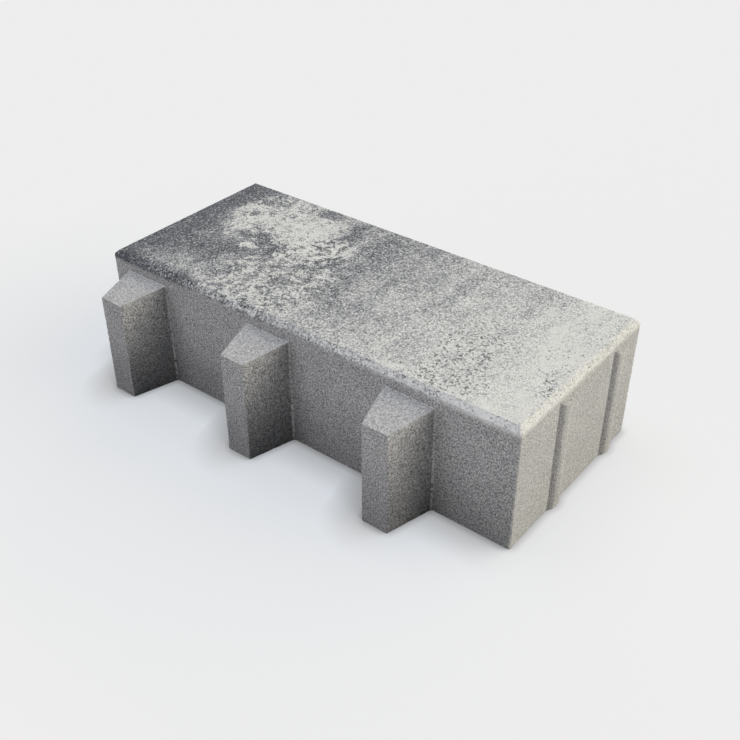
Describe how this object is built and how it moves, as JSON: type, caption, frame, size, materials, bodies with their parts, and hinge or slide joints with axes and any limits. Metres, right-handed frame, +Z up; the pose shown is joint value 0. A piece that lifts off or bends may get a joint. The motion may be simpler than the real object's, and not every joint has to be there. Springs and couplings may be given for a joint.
{
  "type": "concrete paving block",
  "caption": "Rectangular two-layer concrete paver with spacer lugs on one long side and slim ribs on one end, for a wide grass or gravel joint.",
  "frame": {"origin": "on the bed plane, in the middle of the outline taken over lugs and ribs", "axes": "+X along the block towards the end with the ribs, +Y away from the spacer lugs, +Z up from the bed to the walking face"},
  "size_m": [0.3006, 0.16, 0.08],
  "materials": {
    "backing_concrete": "rough pressed grey concrete, fine salt-and-pepper grain",
    "facing_concrete": "rough pressed concrete, white, grey and anthracite blended"
  },
  "bodies": {
    "root": {"backing_block": "backing_concrete", "facing_layer": "facing_concrete", "spacer_lug_left": "backing_concrete", "spacer_lug_middle": "backing_concrete", "spacer_lug_right": "backing_concrete", "end_rib_front": "backing_concrete", "end_rib_back": "backing_concrete"}
  },
  "joints": []
}
